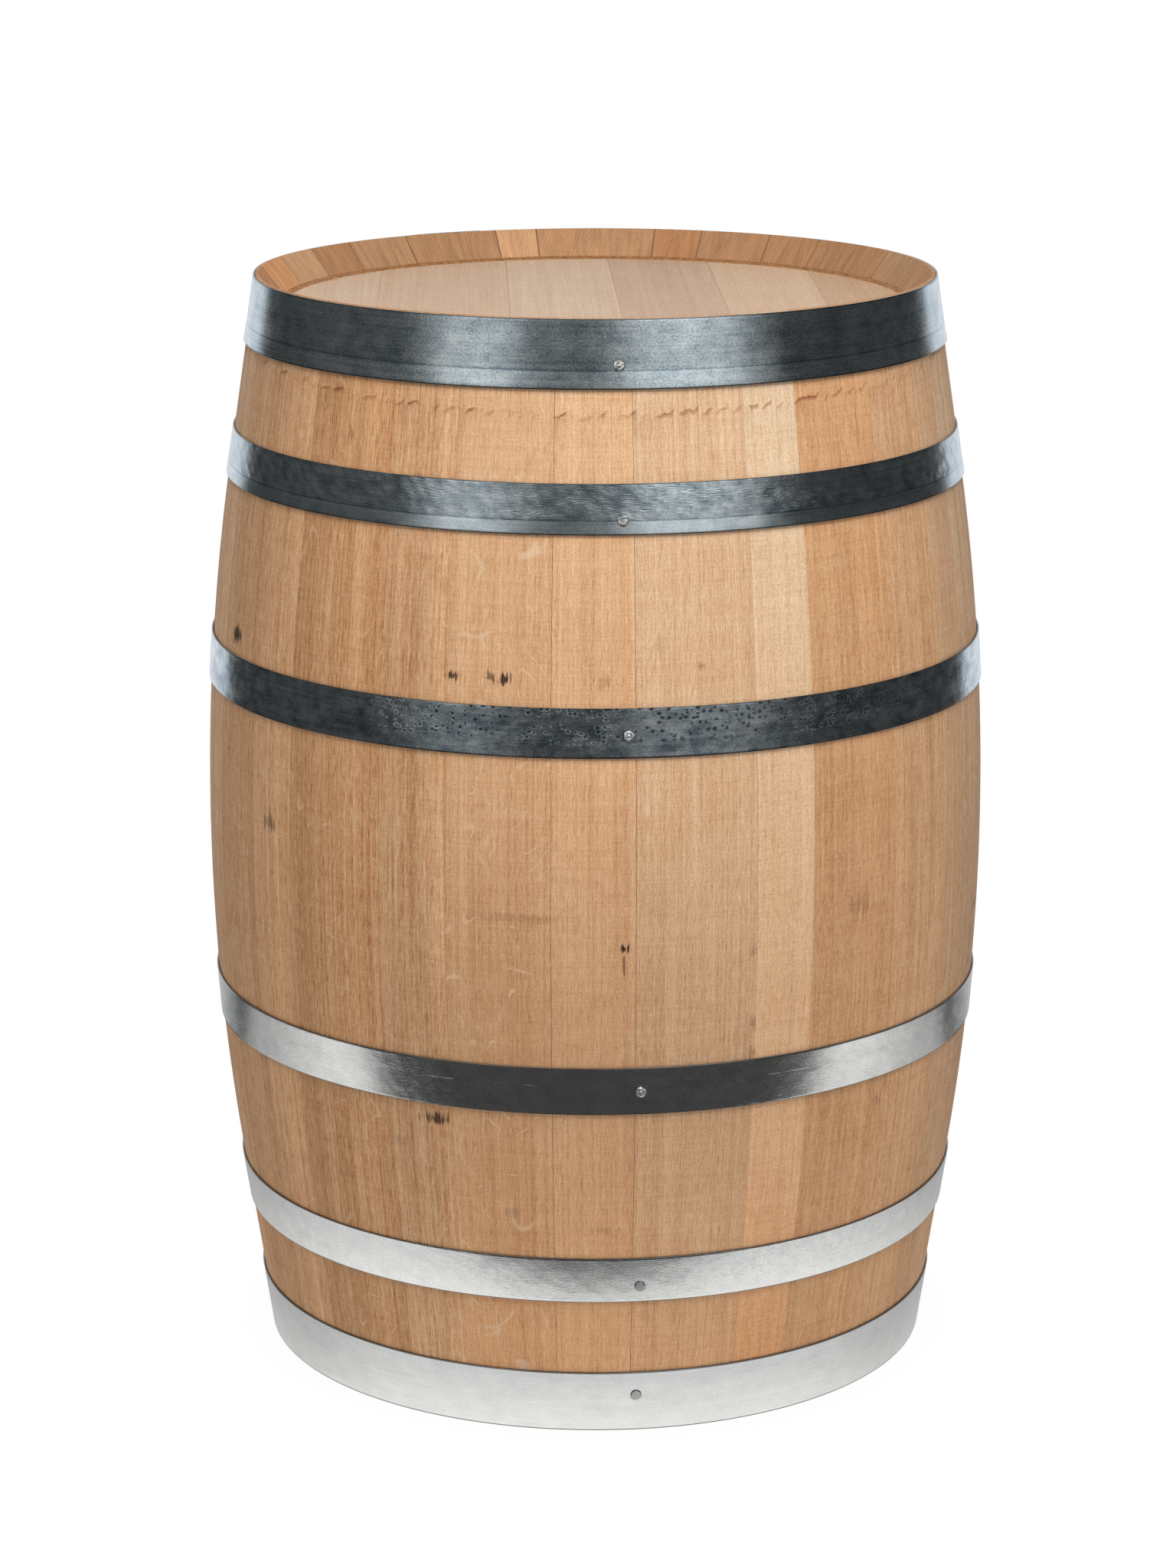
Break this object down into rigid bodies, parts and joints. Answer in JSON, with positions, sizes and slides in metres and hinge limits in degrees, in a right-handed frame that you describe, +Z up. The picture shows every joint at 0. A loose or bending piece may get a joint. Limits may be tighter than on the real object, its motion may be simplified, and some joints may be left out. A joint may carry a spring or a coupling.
{
  "type": "oak aging barrel",
  "caption": "Upright oak barrel of bent staves bound by galvanised steel hoops, with flat recessed heads and a tapered bung in its side, for aging wine or spirits.",
  "frame": {"origin": "centre of the barrel's lower end, on the floor that it stands on", "axes": "+Z up along the barrel's axis; the bung faces +Y; the pictured front faces -Y"},
  "size_m": [0.682, 0.688, 0.95],
  "materials": {
    "stave_oak": "bare planed oak, matt",
    "head_oak": "bare planed oak, matt",
    "dowel_wood": "bare wood, matt",
    "hoop_steel": "galvanised strip, mottled and hammered",
    "nail_steel": "hammered steel",
    "bung_wood": "turned wood, matt"
  },
  "bodies": {
    "barrel": {"bung_stave": "stave_oak", "stave_02": "stave_oak", "stave_03": "stave_oak", "stave_04": "stave_oak", "stave_05": "stave_oak", "stave_06": "stave_oak", "stave_07": "stave_oak", "stave_08": "stave_oak", "stave_09": "stave_oak", "stave_10": "stave_oak", "stave_11": "stave_oak", "stave_12": "stave_oak", "stave_13": "stave_oak", "stave_14": "stave_oak", "stave_15": "stave_oak", "stave_16": "stave_oak", "stave_17": "stave_oak", "stave_18": "stave_oak", "stave_19": "stave_oak", "stave_20": "stave_oak", "stave_21": "stave_oak", "stave_22": "stave_oak", "stave_23": "stave_oak", "stave_24": "stave_oak", "stave_25": "stave_oak", "stave_26": "stave_oak", "stave_27": "stave_oak", "stave_28": "stave_oak", "stave_29": "stave_oak", "top_head_board_1": "head_oak", "top_head_board_2": "head_oak", "top_head_board_3": "head_oak", "top_head_board_4": "head_oak", "top_head_board_5": "head_oak", "top_head_board_6": "head_oak", "bottom_head_board_1": "head_oak", "bottom_head_board_2": "head_oak", "bottom_head_board_3": "head_oak", "bottom_head_board_4": "head_oak", "bottom_head_board_5": "head_oak", "bottom_head_board_6": "head_oak", "top_head_dowels": "dowel_wood", "bottom_head_dowels": "dowel_wood", "upper_head_hoop": "hoop_steel", "upper_quarter_hoop": "hoop_steel", "upper_bilge_hoop": "hoop_steel", "lower_bilge_hoop": "hoop_steel", "lower_quarter_hoop": "hoop_steel", "lower_head_hoop": "hoop_steel", "hoop_rivets": "nail_steel", "hoop_nails": "nail_steel"},
    "bung": {"bung": "bung_wood"}
  },
  "joints": [
    {"name": "bung_pull", "type": "slide", "parent": "barrel", "child": "bung", "axis": [0, 1, 0], "range_m": [0, 0.09]}
  ]
}
